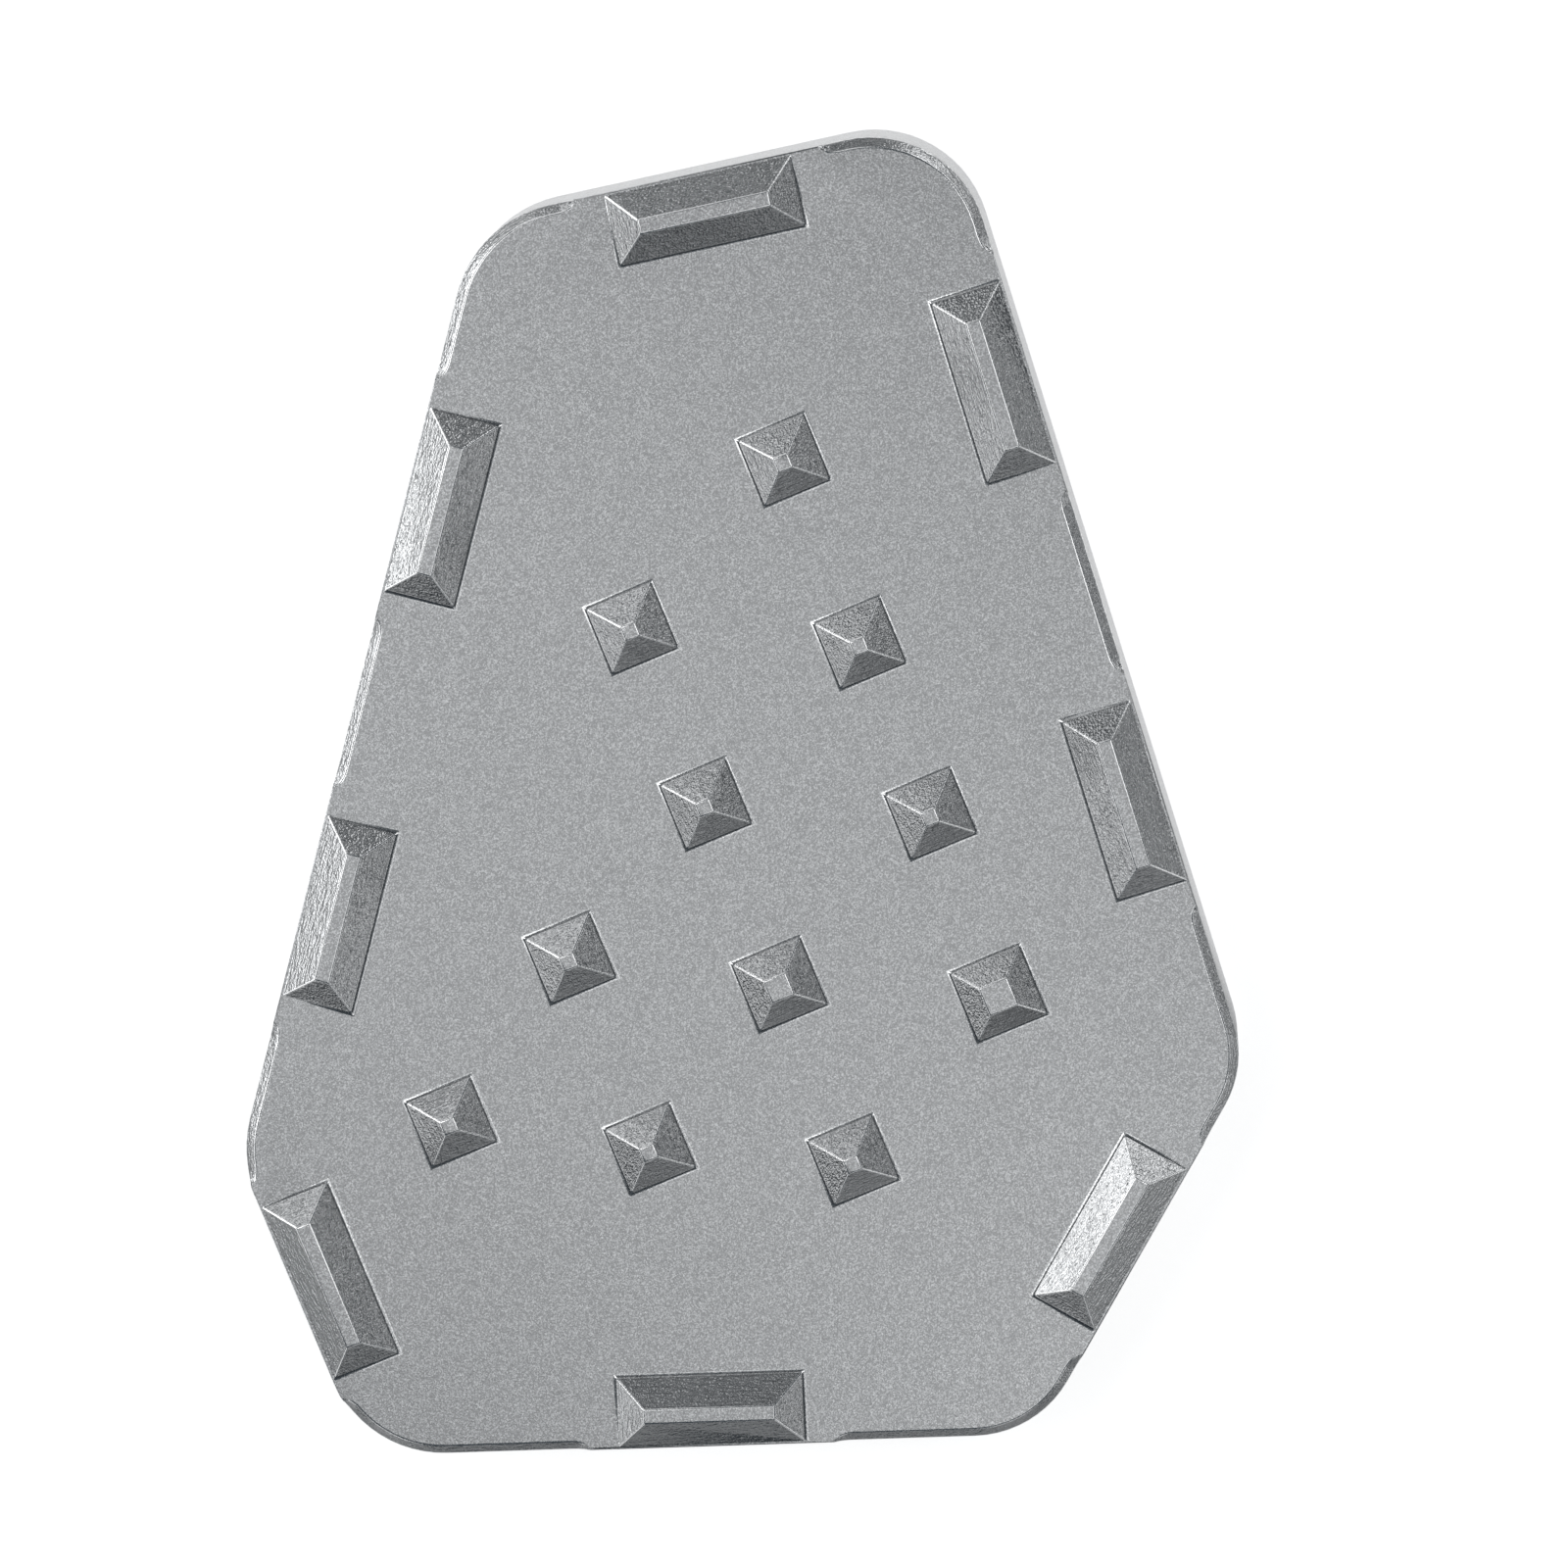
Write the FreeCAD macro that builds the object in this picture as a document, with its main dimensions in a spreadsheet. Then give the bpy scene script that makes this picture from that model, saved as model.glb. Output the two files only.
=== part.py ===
"""Footplate of a brake pedal extension, machined from one block of aluminium.

The plate is a six-sided tread with round corners. Eight long grip bars with hipped ends lie along its
edge, and eleven small blunt pyramids stand inside them. All of them are left standing by a 45 degree
cutter. The top edge has a small 45 degree chamfer in eight stretches: the cutter lifts out short of each
bar, and leaves a rounded run-out there. The back is flat, with two blind tapped holes for the screws
that hold the plate to the pedal.

The origin is midway between the two holes on the back. +Z points up through the grips, and +Y points
at the narrow end. Each straight side is given by the way it faces, as an angle from +X, and by its
reach, the distance from the origin. A place along a side is counted anticlockwise from the foot of
that reach. Lengths are in millimetres and angles in degrees.
"""
import FreeCAD, Part
import Sketcher
import math
import os

Vector = FreeCAD.Vector
Z_AXIS = Vector(0, 0, 1)

SIZES = {
    # the plate
    "plate_thickness": 8.0,
    "back_edge_break": 0.4,
    # the six sides, anticlockwise, and the round corner after each
    "right_facing": 15.1,
    "right_reach": 24.0,
    "right_corner_radius": 6.5,
    "top_facing": 100.1,
    "top_reach": 38.15,
    "top_corner_radius": 6.85,
    "left_facing": 163.25,
    "left_reach": 22.78,
    "left_corner_radius": 7.1,
    "lower_left_facing": 199.9,
    "lower_left_reach": 32.13,
    "lower_left_corner_radius": 6.6,
    "bottom_facing": 270.0,
    "bottom_reach": 32.95,
    "bottom_corner_radius": 6.2,
    "lower_right_facing": 328.6,
    "lower_right_reach": 30.55,
    "lower_right_corner_radius": 5.95,
    # the grip bars, and the place of each one's middle along its side
    "bar_length": 10.55,
    "bar_width": 4.0,
    "grip_height": 1.6,
    "ledge": 0.15,
    "right_low_bar_along": -2.9,
    "right_high_bar_along": 21.5,
    "top_bar_along": -6.4,
    "left_high_bar_along": -15.35,
    "left_low_bar_along": 8.25,
    "lower_left_bar_along": 13.3,
    "bottom_bar_along": -2.6,
    "lower_right_bar_along": -7.8,
    # the pyramids: two of them are blunter, on a wider foot
    "pyramid_width": 4.0,
    "pyramid_turn": 20.1,
    "blunt_width": 4.16,
    "blunt_height": 1.44,
    "bluntest_width": 4.24,
    "bluntest_height": 1.3,
    # the cutters: how the grips and the chamfer slope, and where the chamfer stops
    "cutter_slope": 45.0,
    "chamfer": 0.53,
    "cutter_radius": 1.6,
    "cutter_overrun": 0.2,
    "runout_gap": 1.45,
    # the tapped holes in the back
    "hole_spacing": 24.0,
    "hole_diameter": 4.2,
    "hole_depth": 5.6,
    "hole_mouth_diameter": 5.2,
    "countersink_angle": 90.0,
    "drill_point_angle": 118.0,
}

# where each pyramid stands, and the sizes that it takes
PYRAMIDS = {
    "tip": (3.76, 22.6, "pyramid_width", "grip_height"),
    "upper_left": (-5.1, 13.55, "pyramid_width", "grip_height"),
    "upper_right": (7.55, 12.25, "pyramid_width", "grip_height"),
    "middle_left": (-1.4, 3.55, "pyramid_width", "grip_height"),
    "middle_right": (11.1, 2.55, "pyramid_width", "grip_height"),
    "lower_left": (-9.35, -4.85, "pyramid_width", "grip_height"),
    "lower_middle": (2.3, -6.75, "blunt_width", "blunt_height"),
    "lower_right": (14.5, -7.7, "bluntest_width", "bluntest_height"),
    "foot_left": (-16.45, -13.9, "pyramid_width", "grip_height"),
    "foot_middle": (-5.35, -15.8, "pyramid_width", "grip_height"),
    "foot_right": (6.0, -16.85, "pyramid_width", "grip_height"),
}

SIDES = ["right", "top", "left", "lower_left", "bottom", "lower_right"]

# the bars on each side, anticlockwise
BARS = {
    "right": ["right_low_bar", "right_high_bar"],
    "top": ["top_bar"],
    "left": ["left_high_bar", "left_low_bar"],
    "lower_left": ["lower_left_bar"],
    "bottom": ["bottom_bar"],
    "lower_right": ["lower_right_bar"],
}

doc = FreeCAD.newDocument("pedal_extension")
sheet = doc.addObject("Spreadsheet::Sheet", "sizes")
for name, (x, y, width, height) in PYRAMIDS.items():
    SIZES[name + "_pyramid_x"] = x
    SIZES[name + "_pyramid_y"] = y
for row, (name, value) in enumerate(SIZES.items(), start=1):
    sheet.set(f"A{row}", name)
    sheet.set(f"B{row}", str(value))
    sheet.setAlias(f"B{row}", name)
doc.recompute()

plate = doc.addObject("PartDesign::Body", "pedal_plate")
plate.Label = "pedal_plate"


def number(expression):
    """What an expression on the sheet comes to."""
    value = sheet.evalExpression(expression.replace("sizes.", ""))
    return getattr(value, "Value", value)


def lay_sketch(name, height="0", x="0", y="0", turn="0"):
    """A sketch lying level in the plate: its origin at x, y and a height, its own X axis turned."""
    sketch = plate.newObject("Sketcher::SketchObject", name)
    ground = [plane for plane in plate.Origin.OriginFeatures if plane.Role == "XY_Plane"][0]
    sketch.AttachmentSupport = [(ground, "")]
    sketch.MapMode = "FlatFace"
    sketch.AttachmentOffset = FreeCAD.Placement(Vector(0, 0, 0), FreeCAD.Rotation(Z_AXIS, 1))
    sketch.setExpression("AttachmentOffset.Base.x", x)
    sketch.setExpression("AttachmentOffset.Base.y", y)
    sketch.setExpression("AttachmentOffset.Base.z", height)
    sketch.setExpression("AttachmentOffset.Rotation.Angle", turn)
    return sketch


def draw(sketch, shapes):
    for shape in shapes:
        sketch.addGeometry(shape, False)


def rule(sketch, *terms):
    sketch.addConstraint(Sketcher.Constraint(*terms))


def measure(sketch, expression, *terms, scale=1.0):
    """A dimension that follows the sheet. An angle is drawn in radians, so its scale says so."""
    index = sketch.addConstraint(Sketcher.Constraint(*terms, number(expression) * scale))
    sketch.setExpression(f"Constraints[{index}]", expression)


def line(start, end):
    return Part.LineSegment(Vector(*start, 0), Vector(*end, 0))


def arc(centre, radius, start, end):
    """An arc, anticlockwise between two angles."""
    circle = Part.Circle(Vector(*centre, 0), Z_AXIS, radius)
    return Part.ArcOfCircle(circle, math.radians(start), math.radians(end))


def polar(radius, angle, forward=0.0):
    """A point out at an angle, moved forward at right angles to it."""
    sine = math.sin(math.radians(angle))
    cosine = math.cos(math.radians(angle))
    return (radius * cosine - forward * sine, radius * sine + forward * cosine)


def next_side(side):
    return SIDES[(SIDES.index(side) + 1) % len(SIDES)]


def turn_after(side):
    """How far the outline turns at the corner after a side."""
    return f"mod(sizes.{next_side(side)}_facing - sizes.{side}_facing + 360; 360)"


def centre_reach(side, corner):
    """How far a corner's centre lies out towards a side. A corner is named for the side before it."""
    return f"(sizes.{side}_reach - sizes.{corner}_corner_radius)"


def straight_end(side):
    """Where the straight part of a side ends and its corner starts."""
    turn = turn_after(side)
    ahead = centre_reach(next_side(side), side)
    return f"(({ahead} - {centre_reach(side, side)} * cos({turn})) / sin({turn}))"


def straight_start(side):
    """Where the straight part of a side starts, after the corner before it."""
    before = SIDES[SIDES.index(side) - 1]
    turn = turn_after(before)
    behind = centre_reach(before, before)
    return f"(({centre_reach(side, before)} * cos({turn}) - {behind}) / sin({turn}))"


def place_x(side, reach, along):
    """X of a point at a reach towards a side and a distance along it."""
    return f"({reach}) * cos(sizes.{side}_facing) - ({along}) * sin(sizes.{side}_facing)"


def place_y(side, reach, along):
    return f"({reach}) * sin(sizes.{side}_facing) + ({along}) * cos(sizes.{side}_facing)"


def draw_outline():
    """Six sides and their corners, each side held by its angle and its reach."""
    sketch = lay_sketch("outline")
    for side in SIDES:
        radius = number(f"sizes.{side}_corner_radius")
        facing = number(f"sizes.{side}_facing")
        reach = number(f"sizes.{side}_reach")
        start = polar(reach, facing, number(straight_start(side)))
        end = polar(reach, facing, number(straight_end(side)))
        centre = polar(reach - radius, facing, number(straight_end(side)))
        draw(sketch, [line(start, end), arc(centre, radius, facing, facing + number(turn_after(side)))])
    for index, side in enumerate(SIDES):
        edge = 2 * index
        corner = edge + 1
        following = (edge + 2) % (2 * len(SIDES))
        rule(sketch, "Tangent", edge, 2, corner, 1)
        rule(sketch, "Tangent", corner, 2, following, 1)
    for index, side in enumerate(SIDES):
        upright = f"mod(sizes.{side}_facing + 90; 360)"
        measure(sketch, upright, "Angle", 2 * index, scale=math.pi / 180)
        measure(sketch, f"sizes.{side}_reach", "Distance", -1, 1, 2 * index)
        measure(sketch, f"sizes.{side}_corner_radius", "Radius", 2 * index + 1)
    return sketch


def rectangle(sketch, length, width):
    """A rectangle about the sketch's own origin."""
    half_length = number(length) / 2
    half_width = number(width) / 2
    corners = [
        (-half_length, -half_width),
        (half_length, -half_width),
        (half_length, half_width),
        (-half_length, half_width),
    ]
    draw(sketch, [line(corners[side - 1], corners[side]) for side in range(4)])
    for side in range(4):
        rule(sketch, "Coincident", side, 2, (side + 1) % 4, 1)
        rule(sketch, "Horizontal" if side % 2 else "Vertical", side)
    rule(sketch, "Symmetric", 0, 1, 1, 2, -1, 1)
    measure(sketch, length, "DistanceX", 1, 1, 1, 2)
    measure(sketch, width, "DistanceY", 2, 1, 2, 2)


def stand_grip(name, x, y, turn, length, width, height):
    """A grip with sloping sides: a square foot gives a blunt pyramid, a long one a hipped bar."""
    sketch = lay_sketch(name + "_foot", "sizes.plate_thickness", x, y, turn)
    rectangle(sketch, length, width)
    grip = plate.newObject("PartDesign::Pad", name)
    grip.Profile = sketch
    grip.setExpression("Length", height)
    grip.setExpression("TaperAngle", "-sizes.cutter_slope")


def mill(name, sketch):
    """Cuts down along a sketch with the chamfer cutter, a little past the chamfer's own depth."""
    cut = plate.newObject("PartDesign::Pocket", name)
    cut.Profile = sketch
    cut.setExpression("Length", "sizes.chamfer + sizes.cutter_overrun")
    cut.setExpression("TaperAngle", "-sizes.cutter_slope")


# from a bar's end to the middle of the cutter where it lifts out
CUTTER_STOP = (
    "(sizes.bar_length / 2 + sizes.runout_gap"
    " + sqrt(sizes.cutter_radius ^ 2 - (sizes.cutter_radius - sizes.chamfer) ^ 2))"
)
CUTTER_REACH = "(sizes.cutter_radius - sizes.chamfer)"


def chamfer_between_bars(side):
    """The chamfer between the two bars of one side: a straight slot with round ends."""
    first, second = BARS[side]
    start = f"(sizes.{first}_along + {CUTTER_STOP})"
    span = f"(sizes.{second}_along - {CUTTER_STOP} - {start})"
    reach = f"sizes.{side}_reach + {CUTTER_REACH}"
    sketch = lay_sketch(
        f"{side}_middle_cut",
        "sizes.plate_thickness",
        place_x(side, reach, start),
        place_y(side, reach, start),
        f"sizes.{side}_facing + 90",
    )
    radius = number("sizes.cutter_radius")
    length = number(span)
    draw(
        sketch,
        [
            line((0, radius), (length, radius)),
            arc((length, 0), radius, -90, 90),
            line((length, -radius), (0, -radius)),
            arc((0, 0), radius, 90, 270),
        ],
    )
    rule(sketch, "Tangent", 0, 2, 1, 2)
    rule(sketch, "Tangent", 1, 1, 2, 1)
    rule(sketch, "Tangent", 2, 2, 3, 2)
    rule(sketch, "Tangent", 3, 1, 0, 1)
    rule(sketch, "Horizontal", 0)
    rule(sketch, "Horizontal", 2)
    rule(sketch, "Coincident", 3, 3, -1, 1)
    measure(sketch, "sizes.cutter_radius", "Radius", 3)
    measure(sketch, span, "DistanceX", 3, 3, 1, 3)
    mill(f"{side}_middle_chamfer", sketch)


def chamfer_round_corner(side):
    """The chamfer from the last bar of a side, round the corner, to the first bar of the next side.

    The sketch's origin is the corner's centre and its X axis points at the side. The slot's inner
    edge runs one chamfer in from the outline, so that its sloping wall meets the plate's own wall.
    A bar that nearly fills its side leaves no straight run: the cutter then stops on the round.
    """
    after = next_side(side)
    turn = turn_after(side)
    run_in = f"({straight_end(side)} - sizes.{BARS[side][-1]}_along - {CUTTER_STOP})"
    run_out = f"(sizes.{BARS[after][0]}_along - {CUTTER_STOP} - {straight_start(after)})"
    straight_in = number(run_in) > 0
    straight_out = number(run_out) > 0
    inner_radius = f"(sizes.{side}_corner_radius - sizes.chamfer)"
    path_radius = f"({inner_radius} + sizes.cutter_radius)"
    first = "0" if straight_in else f"(-{run_in} / {path_radius} * 180 / pi)"
    last = turn if straight_out else f"({turn} + {run_out} / {path_radius} * 180 / pi)"
    sketch = lay_sketch(
        f"{side}_corner_cut",
        "sizes.plate_thickness",
        place_x(side, centre_reach(side, side), straight_end(side)),
        place_y(side, centre_reach(side, side), straight_end(side)),
        f"sizes.{side}_facing",
    )
    radius = number("sizes.cutter_radius")
    inner = number(inner_radius)
    path = number(path_radius)
    outer = path + radius
    start = number(first)
    end = number(last)
    before = min(0, -number(run_in))
    beyond = max(0, number(run_out))
    # each piece of the slot's outline, with the ends that it is entered and left by
    slot = {}
    if straight_in:
        slot["inner_in"] = (line(polar(inner, start, before), polar(inner, start)), 1, 2)
    slot["inner_round"] = (arc((0, 0), inner, start, end), 1, 2)
    if straight_out:
        slot["inner_out"] = (line(polar(inner, end), polar(inner, end, beyond)), 1, 2)
    slot["end_out"] = (arc(polar(path, end, beyond), radius, end, end + 180), 2, 1)
    if straight_out:
        slot["outer_out"] = (line(polar(outer, end, beyond), polar(outer, end)), 1, 2)
    slot["outer_round"] = (arc((0, 0), outer, start, end), 2, 1)
    if straight_in:
        slot["outer_in"] = (line(polar(outer, start), polar(outer, start, before)), 1, 2)
    slot["end_in"] = (arc(polar(path, start, before), radius, start + 180, start + 360), 2, 1)
    names = list(slot)
    draw(sketch, [shape for shape, entered, left in slot.values()])
    for name, following in zip(names, names[1:] + names[:1]):
        rule(sketch, "Tangent", names.index(name), slot[name][2], names.index(following), slot[following][1])
    for name in ("inner_round", "outer_round"):
        rule(sketch, "Coincident", names.index(name), 3, -1, 1)
    measure(sketch, inner_radius, "Radius", names.index("inner_round"))
    measure(sketch, "sizes.cutter_radius", "Radius", names.index("end_in"))
    if straight_in:
        rule(sketch, "Vertical", names.index("inner_in"))
        rule(sketch, "Vertical", names.index("outer_in"))
        measure(sketch, run_in, "Distance", names.index("inner_in"))
    else:
        aim_end(sketch, names.index("end_in"), polar(path, start), first)
    if straight_out:
        measure(sketch, f"{turn} + 90", "Angle", names.index("inner_out"), scale=math.pi / 180)
        rule(sketch, "Parallel", names.index("inner_out"), names.index("outer_out"))
        measure(sketch, run_out, "Distance", names.index("inner_out"))
    else:
        aim_end(sketch, names.index("end_out"), polar(path, end), last)
    mill(f"{side}_corner_chamfer", sketch)


def aim_end(sketch, end, centre, angle):
    """Holds a slot's round end at an angle about the sketch's origin, by a construction line."""
    spoke = sketch.addGeometry(line((0, 0), centre), True)
    rule(sketch, "Coincident", spoke, 1, -1, 1)
    rule(sketch, "Coincident", spoke, 2, end, 3)
    measure(sketch, angle, "Angle", spoke, scale=math.pi / 180)


def break_back_edge(block):
    """A small chamfer round the edge of the flat back."""
    around = [
        f"Edge{index}"
        for index, edge in enumerate(block.Shape.Edges, start=1)
        if abs(edge.BoundBox.ZMax) < Part.Precision.confusion()
    ]
    edge_break = plate.newObject("PartDesign::Chamfer", "back_edge")
    edge_break.Base = (block, around)
    edge_break.setExpression("Size", "sizes.back_edge_break")


def tap_holes():
    """Two blind holes drilled from the back to tapping size, with a small countersink."""
    sketch = lay_sketch("hole_centres")
    radius = number("sizes.hole_diameter / 2")
    half = number("sizes.hole_spacing / 2")
    draw(sketch, [Part.Circle(Vector(0, y, 0), Z_AXIS, radius) for y in (-half, half)])
    rule(sketch, "PointOnObject", 0, 3, -2)
    rule(sketch, "Symmetric", 0, 3, 1, 3, -1, 1)
    rule(sketch, "Equal", 0, 1)
    measure(sketch, "sizes.hole_spacing", "DistanceY", 0, 3, 1, 3)
    measure(sketch, "sizes.hole_diameter", "Diameter", 0)
    holes = plate.newObject("PartDesign::Hole", "tapped_holes")
    holes.Profile = sketch
    doc.recompute()
    holes.Reversed = True
    holes.DepthType = "Dimension"
    holes.DrillPoint = "Angled"
    holes.HoleCutType = "Countersink"
    holes.HoleCutCustomValues = True
    holes.setExpression("Diameter", "sizes.hole_diameter")
    holes.setExpression("Depth", "sizes.hole_depth")
    holes.setExpression("DrillPointAngle", "sizes.drill_point_angle")
    holes.setExpression("HoleCutDiameter", "sizes.hole_mouth_diameter")
    holes.setExpression("HoleCutCountersinkAngle", "sizes.countersink_angle")


outline = draw_outline()
block = plate.newObject("PartDesign::Pad", "block")
block.Profile = outline
block.setExpression("Length", "sizes.plate_thickness")
doc.recompute()
break_back_edge(block)

for side in SIDES:
    for bar in BARS[side]:
        middle = f"sizes.{side}_reach - sizes.ledge - sizes.bar_width / 2"
        along = f"sizes.{bar}_along"
        stand_grip(
            bar,
            place_x(side, middle, along),
            place_y(side, middle, along),
            f"sizes.{side}_facing + 90",
            "sizes.bar_length",
            "sizes.bar_width",
            "sizes.grip_height",
        )

for name, (x, y, width, height) in PYRAMIDS.items():
    stand_grip(
        name + "_pyramid",
        f"sizes.{name}_pyramid_x",
        f"sizes.{name}_pyramid_y",
        "sizes.pyramid_turn",
        f"sizes.{width}",
        f"sizes.{width}",
        f"sizes.{height}",
    )

for side in SIDES:
    chamfer_round_corner(side)
    if len(BARS[side]) == 2:
        chamfer_between_bars(side)

doc.recompute()
volume_before_holes = plate.Shape.Volume
tap_holes()
doc.recompute()

failed = [thing.Name for thing in doc.Objects if {"Invalid", "Error"} & set(thing.State)]
if failed:
    raise RuntimeError("failed: " + ", ".join(failed))
if plate.Shape.isNull() or not plate.Shape.isValid() or len(plate.Shape.Solids) != 1:
    raise RuntimeError("the plate is not one sound solid")
if plate.Shape.Volume >= volume_before_holes:
    raise RuntimeError("the tapped holes cut nothing")

os.makedirs("parts", exist_ok=True)
plate.Shape.exportStep("parts/pedal_plate.step")
bounds = plate.Shape.optimalBoundingBox(False)
print(f"pedal_plate {plate.Shape.Volume:.1f} mm3, {len(plate.Shape.Faces)} faces")
print(f"size {bounds.XLength:.2f} x {bounds.YLength:.2f} x {bounds.ZLength:.2f} mm")
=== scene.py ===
"""Looks of a brake pedal extension: one plate of aluminium, bead-blasted and clear anodised.

The plate keeps the solid's own form. Its edges get the small rounding that blasting leaves on a ridge,
and the foot of each grip gets the fillet that the cutter's nose leaves, because both catch the light.
Lengths are in metres.
"""

import math

import bmesh
import bpy
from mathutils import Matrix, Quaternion, Vector
from mathutils.bvhtree import BVHTree


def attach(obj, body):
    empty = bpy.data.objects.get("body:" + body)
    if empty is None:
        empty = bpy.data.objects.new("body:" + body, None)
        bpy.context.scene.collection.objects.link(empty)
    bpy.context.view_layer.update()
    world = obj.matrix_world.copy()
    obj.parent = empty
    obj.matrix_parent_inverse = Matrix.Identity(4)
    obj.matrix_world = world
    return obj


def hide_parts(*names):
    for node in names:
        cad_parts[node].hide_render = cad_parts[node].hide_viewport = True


MM = 0.001

# the photograph's viewpoint: a long lens that looks almost straight down on the tread, with its focal
# length and its sensor in millimetres. These values come from a least-squares fit, made by a separate
# program, to the feet and the flat tops of the grips in the photograph.
CAMERA_TARGET = Vector((3.0, 4.5, 8.0)) * MM
CAMERA_DISTANCE = 481.0 * MM
CAMERA_TILT = math.radians(8.043)
CAMERA_AZIMUTH = math.radians(70.76)
CAMERA_ROLL = math.radians(-2.23)
CAMERA_NEAREST = 10.0 * MM
SENSOR_WIDTH = 36.0
CAMERA_LENS = 198.32

# the level of the tread, and the height under which every edge stays sharp
TREAD = 8.0 * MM
LOWEST_ROUNDING = 7.3 * MM

# what blasting and the cutter's nose leave of a sharp edge
RIDGE_ROUNDING = 0.07 * MM
RIM_ROUNDING = 0.08 * MM
FOOT_FILLET = 0.17 * MM
ROUNDING_STEPS = 4

# how far the tread goes on beyond a foot that has room for its fillet, and how long that foot is
FILLET_ROOM = 0.5 * MM

# the rounding stops this short of the points where a chamfer's two lips meet the rim
TIP_CLEARANCE = 0.4 * MM

# the turns of the surface that count as none, as a line that meets others in a tip, and as a sharp edge
FLAT_ANGLE = math.radians(0.5)
TIP_ANGLE = math.radians(10)
SHARP_ANGLE = math.radians(30)

# a distance that counts as none, and how far above a foot the ray starts that looks for the tread
SAME_PLACE = 0.001 * MM
ABOVE_GRIPS = 5.0 * MM

# a pale matt floor, and how white it is for the camera before any lamp, so that the lamps leave the
# plate's soft shadow on it
FLOOR_SIZE = 1.6
FLOOR_COLOUR = "EDEDED"
FLOOR_ROUGHNESS = 0.9
FLOOR_BRIGHTNESS = 0.75

# the bright patch of floor that only the plate mirrors, in its walls: an oval with these half axes and
# this centre, which fades out towards the given multiple of its size
GLOW_BRIGHTNESS = 0.63
GLOW_HALF_WIDTH = 28.0 * MM
GLOW_HALF_LENGTH = 37.0 * MM
GLOW_CENTRE_Y = 7.4 * MM
GLOW_FADE = 1.3

# the faint cool light of the room, as linear light
ROOM_LIGHT = (0.027, 0.036, 0.044, 1.0)

# the soft lights, which all face the plate: azimuth and height in degrees, width in metres, watts. The
# places and widths are listed. The watts were fitted by a separate program to how bright each facet is
# in the photograph, so they suit that view and no other.
LIGHT_DISTANCE = 0.5
SOFT_LIGHTS = {
    "right": (355, 13, 0.20, 0.110),
    "right_upper": (30, 13, 0.20, 0.132),
    "upper_right": (58, 13, 0.20, 0.258),
    "upper": (84, 13, 0.20, 0.030),
    "upper_left": (120, 13, 0.20, 0.168),
    "left_upper": (150, 13, 0.20, 0.345),
    "left": (172, 13, 0.20, 0.306),
    "left_lower": (200, 13, 0.20, 0.175),
    "lower_left": (240, 5, 0.20, 0.115),
    "lower": (286, 13, 0.20, 0.067),
    "lower_right": (326, 13, 0.20, 0.128),
    "high_right": (15, 64, 0.18, 0.178),
    "high_left": (160, 64, 0.18, 0.235),
    "high_left_lower": (200, 64, 0.18, 0.026),
    "high_lower": (300, 64, 0.18, 0.083),
    "high_upper": (105, 40, 0.20, 0.093),
    "overhead": (250, 82, 0.22, 0.108),
}

METAL_COLOUR = "B9BABB"
METAL_ROUGHNESS = 0.25

# how far up a surface faces, as the height of its normal, where it is wholly a slope and no longer one
SLOPE_STEEP = 0.72
SLOPE_LEVEL = 0.80

# the grains of the blasted surface, drawn as coarse as they need to be to show, as painted glints: how
# bright a grain is against the plain metal, more on the tread than on the slopes as painted light, and
# the part of their random brightness that is cut off as dark
GRAIN_SIZE = 0.065 * MM
GRAIN_DARK = 0.90
TREAD_GRAIN_GLINT = 1.80
SLOPE_GRAIN_GLINT = 1.35
GRAIN_THRESHOLD = 0.4

# the dimples of the blasting, which are shallower on the tread
DIMPLE_SIZE = 0.12 * MM
DIMPLE_DEPTH = 0.019 * MM
DIMPLE_SOFTNESS = 0.4
TREAD_DIMPLES = 0.20

# the cutter's strokes, which run level round each grip under the dimples
STROKE_PITCH = 0.12 * MM
STROKE_LENGTH = 0.6 * MM
STROKE_DEPTH = 0.045 * MM

# a painted glint and a painted shade line along the feet of the grips, the bright one on the tread's side
# and the dark one on the slope's, by the height where each line lies, half its height and its brightness,
# and the share of it that has no fade
FOOT_GLINT_AND_SHADE = [
    (8.016 * MM, 0.016 * MM, 1.55),
    (8.095 * MM, 0.050 * MM, 0.85),
]
FULL_LINE = 0.6

# a painted highlight on the rounded ridges, as how much brighter it makes them, and the attribute of the
# mesh that says where they lie
RIDGE_HIGHLIGHT = 1.3
RIDGE_MARK = "ridge"


def linear(value):
    """One sRGB channel, from 0 to 1, as linear light."""
    return value / 12.92 if value <= 0.04045 else ((value + 0.055) / 1.055) ** 2.4


def colour(code):
    """A hex colour such as 8A8C8E as linear RGBA."""
    channels = [int(code[start:start + 2], 16) / 255 for start in (0, 2, 4)]
    return (*map(linear, channels), 1.0)


def add_node(tree, kind, settings=None, **inputs):
    """A node with its settings and its inputs: a value, or the output of another node to link."""
    node = tree.nodes.new(kind)
    for name, value in (settings or {}).items():
        setattr(node, name, value)
    for name, value in inputs.items():
        socket = node.inputs[int(name[1:])] if name[1:].isdigit() else node.inputs[name.replace("_", " ")]
        if isinstance(value, bpy.types.NodeSocket):
            tree.links.new(value, socket)
        else:
            socket.default_value = value
    return node


def slope_share(tree):
    """0 on the tread and the grips' flat tops, 1 on what faces another way."""
    facing = add_node(tree, "ShaderNodeNewGeometry").outputs["True Normal"]
    upward = add_node(tree, "ShaderNodeSeparateXYZ", Vector=facing).outputs["Z"]
    return add_node(
        tree,
        "ShaderNodeMapRange",
        Value=upward,
        From_Min=SLOPE_STEEP,
        From_Max=SLOPE_LEVEL,
        To_Min=1.0,
        To_Max=0.0,
    ).outputs[0]


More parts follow.
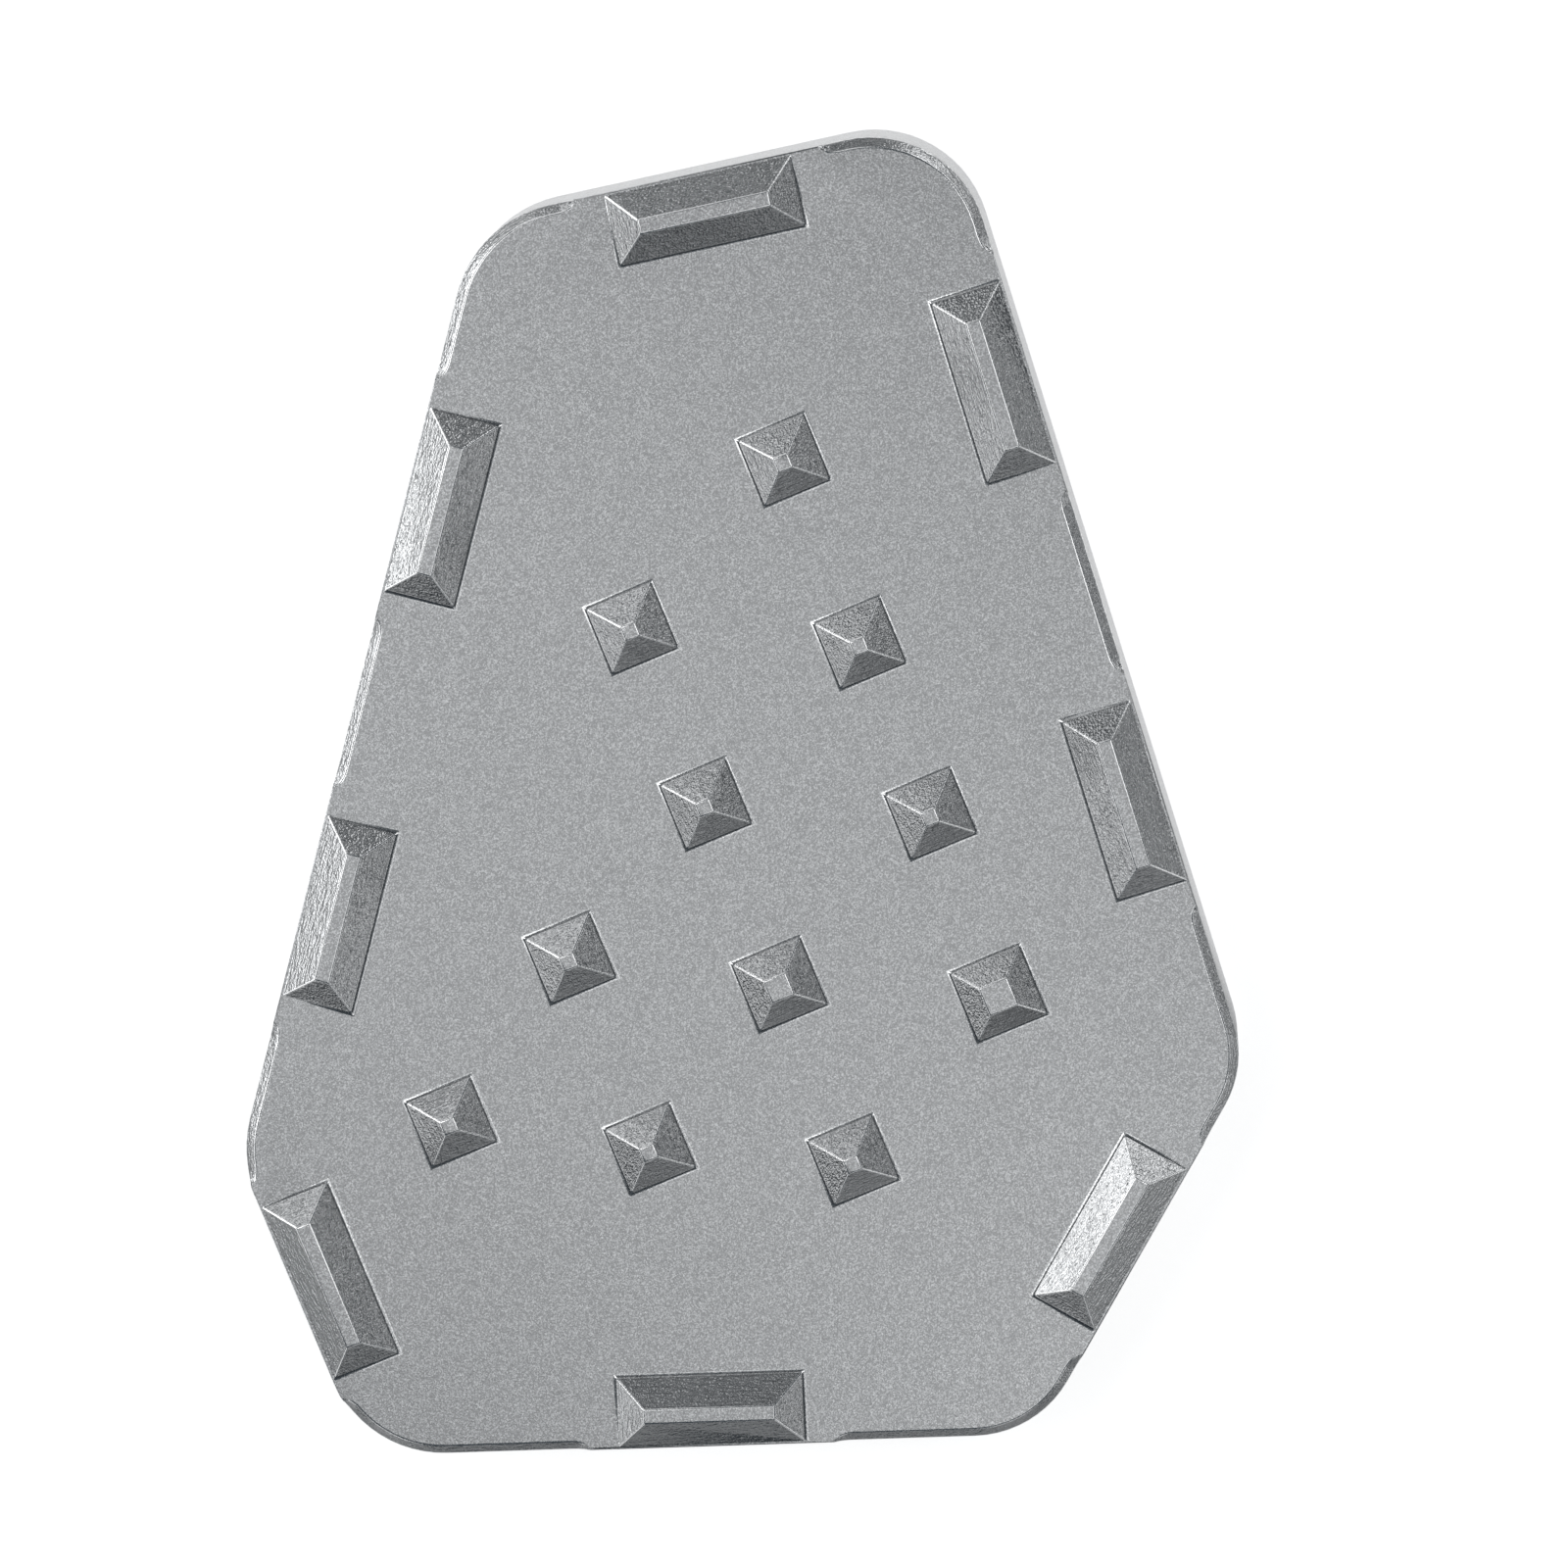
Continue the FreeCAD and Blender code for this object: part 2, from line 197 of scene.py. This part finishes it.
def painted_grain_glints(tree, place, slope):
    """The brightness of each grain against the plain metal: fine painted glints, brighter on the tread than
    on the slopes as painted light.
    """
    brightest = add_node(
        tree,
        "ShaderNodeMapRange",
        Value=slope,
        To_Min=TREAD_GRAIN_GLINT,
        To_Max=SLOPE_GRAIN_GLINT,
    )
    grain = add_node(tree, "ShaderNodeTexVoronoi", Vector=place, Scale=1 / GRAIN_SIZE)
    return add_node(
        tree,
        "ShaderNodeMapRange",
        Value=grain.outputs["Color"],
        From_Min=GRAIN_THRESHOLD,
        From_Max=1.0,
        To_Min=GRAIN_DARK,
        To_Max=brightest.outputs[0],
    ).outputs[0]


def paint_ridge_highlights(tree, brightness):
    """The brightness with a painted highlight on the rounded ridges."""
    ridge = add_node(tree, "ShaderNodeAttribute", {"attribute_name": RIDGE_MARK})
    shine = add_node(
        tree,
        "ShaderNodeMath",
        {"operation": "MULTIPLY_ADD"},
        _0=ridge.outputs["Fac"],
        _1=RIDGE_HIGHLIGHT,
        _2=1.0,
    )
    return add_node(
        tree,
        "ShaderNodeMath",
        {"operation": "MULTIPLY"},
        _0=brightness,
        _1=shine.outputs[0],
    ).outputs[0]


def paint_foot_glint_and_shade(tree, place, brightness):
    """The brightness with a painted glint and a painted shade line along the feet of the grips, each at its
    own level.
    """
    height = add_node(tree, "ShaderNodeSeparateXYZ", Vector=place).outputs["Z"]
    for level, reach, share in FOOT_GLINT_AND_SHADE:
        above = add_node(tree, "ShaderNodeMath", {"operation": "SUBTRACT"}, _0=height, _1=level)
        away = add_node(tree, "ShaderNodeMath", {"operation": "ABSOLUTE"}, _0=above.outputs[0])
        line = add_node(
            tree,
            "ShaderNodeMapRange",
            {"interpolation_type": "SMOOTHSTEP"},
            Value=away.outputs[0],
            From_Min=reach * FULL_LINE,
            From_Max=reach,
            To_Min=share,
            To_Max=1.0,
        )
        brightness = add_node(
            tree,
            "ShaderNodeMath",
            {"operation": "MULTIPLY"},
            _0=brightness,
            _1=line.outputs[0],
        ).outputs[0]
    return brightness


def blasted_relief(tree, place, slope):
    """The normal of the surface: blasted dimples all over, and the cutter's strokes on the slopes."""
    dimples = add_node(
        tree,
        "ShaderNodeTexVoronoi",
        {"feature": "SMOOTH_F1"},
        Vector=place,
        Scale=1 / DIMPLE_SIZE,
        Smoothness=DIMPLE_SOFTNESS,
    )
    pitted = add_node(
        tree,
        "ShaderNodeMapRange",
        Value=slope,
        To_Min=TREAD_DIMPLES,
        To_Max=1.0,
    )
    blasted = add_node(
        tree,
        "ShaderNodeBump",
        Strength=pitted.outputs[0],
        Distance=DIMPLE_DEPTH,
        Height=dimples.outputs["Distance"],
    )
    strokes = add_node(
        tree,
        "ShaderNodeMapping",
        _0=place,
        Scale=(1 / STROKE_LENGTH, 1 / STROKE_LENGTH, 1 / STROKE_PITCH),
    )
    marks = add_node(tree, "ShaderNodeTexNoise", Vector=strokes.outputs[0], Scale=1.0, Detail=1.0)
    return add_node(
        tree,
        "ShaderNodeBump",
        Strength=slope,
        Distance=STROKE_DEPTH,
        Height=marks.outputs["Fac"],
        Normal=blasted.outputs[0],
    ).outputs[0]


def anodised_aluminium():
    """Aluminium 6061, milled, bead-blasted and clear anodised: a soft grey sheen, with painted glints on its
    grains, a painted highlight on its ridges and painted glint and shade lines at the grips' feet.
    """
    material = bpy.data.materials.new("anodised_aluminium")
    material.use_nodes = True
    tree = material.node_tree
    shader = tree.nodes["Principled BSDF"]
    shader.inputs["Metallic"].default_value = 1.0
    shader.inputs["Roughness"].default_value = METAL_ROUGHNESS
    place = add_node(tree, "ShaderNodeTexCoord").outputs["Object"]
    slope = slope_share(tree)
    brightness = painted_grain_glints(tree, place, slope)
    brightness = paint_ridge_highlights(tree, brightness)
    brightness = paint_foot_glint_and_shade(tree, place, brightness)
    sheen = add_node(
        tree,
        "ShaderNodeVectorMath",
        {"operation": "SCALE"},
        _0=colour(METAL_COLOUR)[:3],
        Scale=brightness,
    )
    tree.links.new(sheen.outputs[0], shader.inputs["Base Color"])
    tree.links.new(blasted_relief(tree, place, slope), shader.inputs["Normal"])
    return material


def patch_glow(tree):
    """How bright the floor is where the plate's walls mirror it."""
    place = add_node(tree, "ShaderNodeTexCoord").outputs["Object"]
    spread = add_node(
        tree,
        "ShaderNodeMapping",
        _0=place,
        Location=(0, -GLOW_CENTRE_Y / GLOW_HALF_LENGTH, 0),
        Scale=(1 / GLOW_HALF_WIDTH, 1 / GLOW_HALF_LENGTH, 0),
    )
    away = add_node(tree, "ShaderNodeVectorMath", {"operation": "LENGTH"}, _0=spread.outputs[0])
    return add_node(
        tree,
        "ShaderNodeMapRange",
        {"interpolation_type": "SMOOTHSTEP"},
        Value=away.outputs["Value"],
        From_Min=1.0,
        From_Max=GLOW_FADE,
        To_Min=GLOW_BRIGHTNESS,
        To_Max=0.0,
    ).outputs[0]


def white_ground():
    """A matt pale floor, which the camera sees as white and the plate's walls mirror as a bright patch."""
    material = bpy.data.materials.new("white_ground")
    material.use_nodes = True
    tree = material.node_tree
    shader = tree.nodes["Principled BSDF"]
    shader.inputs["Base Color"].default_value = colour(FLOOR_COLOUR)
    shader.inputs["Roughness"].default_value = FLOOR_ROUGHNESS
    shader.inputs["Emission Color"].default_value = (1, 1, 1, 1)
    rays = add_node(tree, "ShaderNodeLightPath")
    mirrored = add_node(
        tree,
        "ShaderNodeMath",
        {"operation": "MULTIPLY"},
        _0=rays.outputs["Is Glossy Ray"],
        _1=patch_glow(tree),
    )
    seen_by_camera = add_node(
        tree,
        "ShaderNodeMath",
        {"operation": "MULTIPLY"},
        _0=rays.outputs["Is Camera Ray"],
        _1=FLOOR_BRIGHTNESS,
    )
    seen = add_node(
        tree,
        "ShaderNodeMath",
        {"operation": "MAXIMUM"},
        _0=seen_by_camera.outputs[0],
        _1=mirrored.outputs[0],
    )
    tree.links.new(seen.outputs[0], shader.inputs["Emission Strength"])
    return material


def edge_middle(edge):
    return (edge.verts[0].co + edge.verts[1].co) / 2


def edge_angle(edge):
    """How far the surface turns at an edge: above zero on a ridge, below it in a foot."""
    if min(vertex.co.z for vertex in edge.verts) < LOWEST_ROUNDING:
        return 0.0
    return edge.calc_face_angle_signed()


def lies_on_rim(edge):
    """Whether an edge belongs to the plate's rim or its chamfer, not to a grip."""
    return max(vertex.co.z for vertex in edge.verts) < TREAD + SAME_PLACE


def grip_feet(mesh):
    """The feet of the grips, but not along the ledge at the rim, which is narrower than the fillet."""
    solid = BVHTree.FromBMesh(mesh)
    feet = []
    for edge in mesh.edges:
        if edge_angle(edge) > -SHARP_ANGLE or edge.calc_length() <= FILLET_ROOM:
            continue
        outward = edge.link_faces[0].normal + edge.link_faces[1].normal
        outward.z = 0.0
        middle = edge_middle(edge)
        start = middle + outward.normalized() * FILLET_ROOM + Vector((0, 0, ABOVE_GRIPS))
        below = solid.ray_cast(start, Vector((0, 0, -1)))[0]
        if below is not None and abs(below.z - middle.z) < SAME_PLACE:
            feet.append(edge)
    return feet


def chamfer_tips(mesh):
    """The points where a chamfer runs out, and its two lips meet the rim."""
    return [
        vertex.co.copy()
        for vertex in mesh.verts
        if abs(vertex.co.z - TREAD) < SAME_PLACE
        and sum(edge_angle(edge) > TIP_ANGLE for edge in vertex.link_edges) >= 3
    ]


def sharp_ridges(mesh, tips, on_rim):
    """The sharp edges of the rim and the chamfer, or of the grips, that lie clear of the chamfer's tips."""
    return [
        edge
        for edge in mesh.edges
        if edge_angle(edge) > SHARP_ANGLE
        and lies_on_rim(edge) == on_rim
        and all((edge_middle(edge) - tip).length > TIP_CLEARANCE for tip in tips)
    ]


def round_edges(mesh, edges, size):
    """Round the edges, and give back the vertices that lie within the new rounding."""
    rounded = bmesh.ops.bevel(
        mesh,
        geom=edges,
        offset=size,
        offset_type="OFFSET",
        affect="EDGES",
        segments=ROUNDING_STEPS,
        profile=0.5,
        material=-1,
        clamp_overlap=False,
    )
    faces = set(rounded["faces"])
    return [vertex for vertex in rounded["verts"] if faces.issuperset(vertex.link_faces)]


def make_plate(node):
    """A copy of the solid with its ridges rounded and the feet of its grips filleted."""
    mesh = bmesh.new()
    mesh.from_mesh(node.data)
    bmesh.ops.remove_doubles(mesh, verts=mesh.verts, dist=SAME_PLACE)
    bmesh.ops.dissolve_limit(mesh, angle_limit=FLAT_ANGLE, verts=mesh.verts, edges=mesh.edges)
    round_edges(mesh, grip_feet(mesh), FOOT_FILLET)
    tips = chamfer_tips(mesh)
    # the vertices of the rounded ridges, where the material paints a highlight
    ridge_highlights = mesh.verts.layers.float.new(RIDGE_MARK)
    for on_rim, size in ((True, RIM_ROUNDING), (False, RIDGE_ROUNDING)):
        for vertex in round_edges(mesh, sharp_ridges(mesh, tips, on_rim), size):
            vertex[ridge_highlights] = 1.0
    data = bpy.data.meshes.new("anodised_plate")
    mesh.to_mesh(data)
    mesh.free()
    data.shade_smooth()
    data.set_sharp_from_angle(angle=SHARP_ANGLE)
    plate = bpy.data.objects.new("anodised_plate", data)
    bpy.context.scene.collection.objects.link(plate)
    flats = plate.modifiers.new("flats", "WEIGHTED_NORMAL")
    flats.keep_sharp = True
    flats.weight = 100
    return plate


def lay_ground():
    bpy.ops.mesh.primitive_plane_add(size=FLOOR_SIZE, location=(0, 0, 0))
    ground = bpy.context.object
    ground.name = "ground"
    ground.data.materials.append(white_ground())


def place_camera():
    camera = bpy.data.objects.new("camera", bpy.data.cameras.new("camera"))
    bpy.context.scene.collection.objects.link(camera)
    camera.data.sensor_width = SENSOR_WIDTH
    camera.data.lens = CAMERA_LENS
    camera.data.clip_start = CAMERA_NEAREST
    outward = Vector((
        math.sin(CAMERA_TILT) * math.cos(CAMERA_AZIMUTH),
        math.sin(CAMERA_TILT) * math.sin(CAMERA_AZIMUTH),
        math.cos(CAMERA_TILT),
    ))
    upright = Vector((0, 0, 1))
    camera.rotation_mode = "QUATERNION"
    camera.rotation_quaternion = upright.rotation_difference(outward) @ Quaternion(upright, CAMERA_ROLL)
    camera.location = CAMERA_TARGET + outward * CAMERA_DISTANCE
    bpy.context.scene.camera = camera


def place_light(name, azimuth, height, width, watts):
    """A square soft light that faces the plate."""
    lamp = bpy.data.lights.new(name, "AREA")
    lamp.shape = "SQUARE"
    lamp.size = width
    lamp.energy = watts
    light = bpy.data.objects.new(name, lamp)
    bpy.context.scene.collection.objects.link(light)
    turn, rise = math.radians(azimuth), math.radians(height)
    outward = Vector((
        math.cos(turn) * math.cos(rise),
        math.sin(turn) * math.cos(rise),
        math.sin(rise),
    ))
    light.location = outward * LIGHT_DISTANCE
    light.rotation_mode = "QUATERNION"
    light.rotation_quaternion = outward.to_track_quat("Z", "Y")


def light_room():
    world = bpy.data.worlds.new("studio")
    bpy.context.scene.world = world
    world.use_nodes = True
    world.node_tree.nodes["Background"].inputs["Color"].default_value = ROOM_LIGHT


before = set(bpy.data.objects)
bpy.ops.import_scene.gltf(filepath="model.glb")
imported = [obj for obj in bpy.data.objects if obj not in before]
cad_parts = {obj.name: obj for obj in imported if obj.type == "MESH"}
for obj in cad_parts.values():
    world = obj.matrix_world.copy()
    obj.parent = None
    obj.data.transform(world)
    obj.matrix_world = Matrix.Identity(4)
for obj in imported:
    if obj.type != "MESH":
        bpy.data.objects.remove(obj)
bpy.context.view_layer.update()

plate = make_plate(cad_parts["pedal_plate"])
plate.data.materials.append(anodised_aluminium())
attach(plate, "root")
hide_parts("pedal_plate")

lay_ground()
place_camera()
for name, (azimuth, height, width, watts) in SOFT_LIGHTS.items():
    place_light(name, azimuth, height, width, watts)
light_room()
bpy.context.scene.view_settings.view_transform = "Standard"
